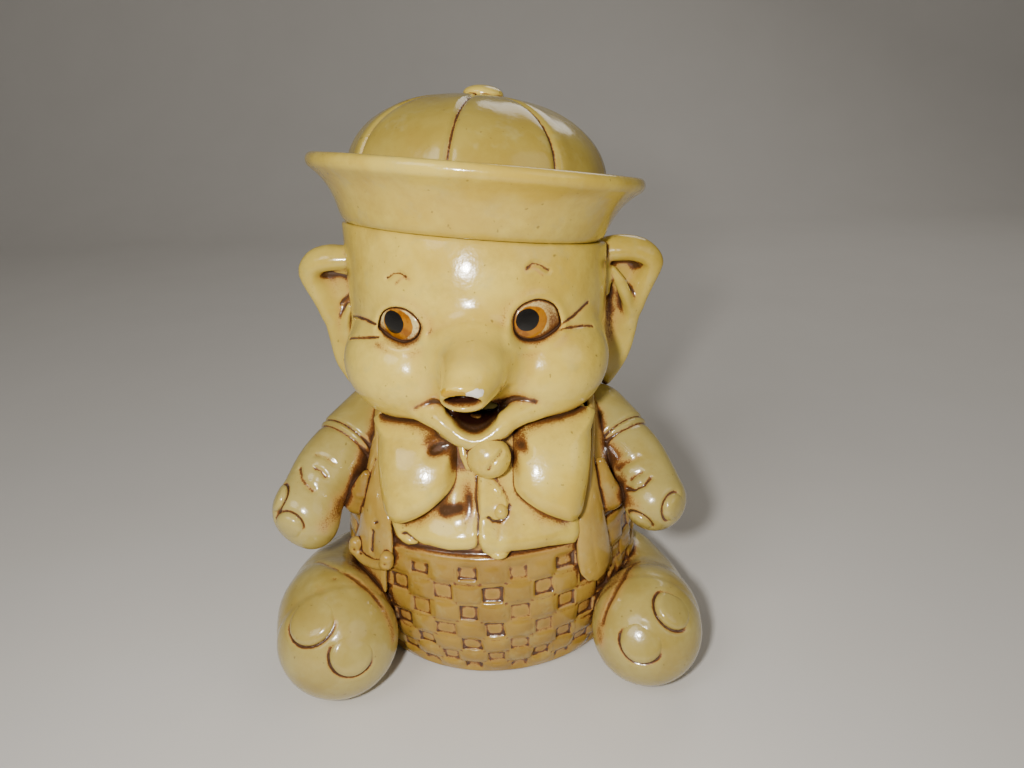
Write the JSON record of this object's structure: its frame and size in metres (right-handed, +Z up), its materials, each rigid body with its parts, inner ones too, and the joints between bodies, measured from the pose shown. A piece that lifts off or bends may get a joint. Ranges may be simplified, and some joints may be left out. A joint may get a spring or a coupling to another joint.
{
  "type": "elephant coin jar",
  "caption": "Glazed ceramic jar shaped as a seated elephant with a bow tie and braces, open at the mouth, with a lift-off sailor hat as its lid.",
  "frame": {"origin": "centre of the flat base, on the surface the jar stands on", "axes": "+Z up; the elephant faces -Y; its own left is +X"},
  "size_m": [0.2193, 0.197, 0.2901],
  "materials": {
    "cream_glaze": "gloss cream glaze over brown antiquing",
    "pale_glaze": "gloss pale cream glaze over brown antiquing",
    "tan_glaze": "gloss tan glaze over brown antiquing",
    "eye_enamel": "gloss orange, black and white enamel"
  },
  "bodies": {
    "jar": {"torso_casting": "cream_glaze", "head_casting": "cream_glaze", "trunk": "cream_glaze", "lower_lip": "cream_glaze", "ear_left": "cream_glaze", "ear_right": "cream_glaze", "eye_left": "eye_enamel", "eye_right": "eye_enamel", "arm_left": "cream_glaze", "arm_right": "cream_glaze", "hand_nails": "pale_glaze", "leg_left": "cream_glaze", "leg_right": "cream_glaze", "toenails_left": "pale_glaze", "toenails_right": "pale_glaze", "bow_loop_left": "pale_glaze", "bow_loop_right": "pale_glaze", "bow_knot": "pale_glaze", "shirt_front": "pale_glaze", "shirt_buttons": "pale_glaze", "strap_left": "tan_glaze", "strap_right": "tan_glaze", "strap_clasp": "tan_glaze"},
    "hat": {"hat_band": "pale_glaze", "hat_crown": "cream_glaze", "hat_button": "pale_glaze", "hat_locating_ring": "pale_glaze"}
  },
  "joints": [
    {"name": "hat_lift", "type": "slide", "parent": "jar", "child": "hat", "axis": [0.1122, 0.1305, 0.9851], "range_m": [0, 0.12]}
  ]
}
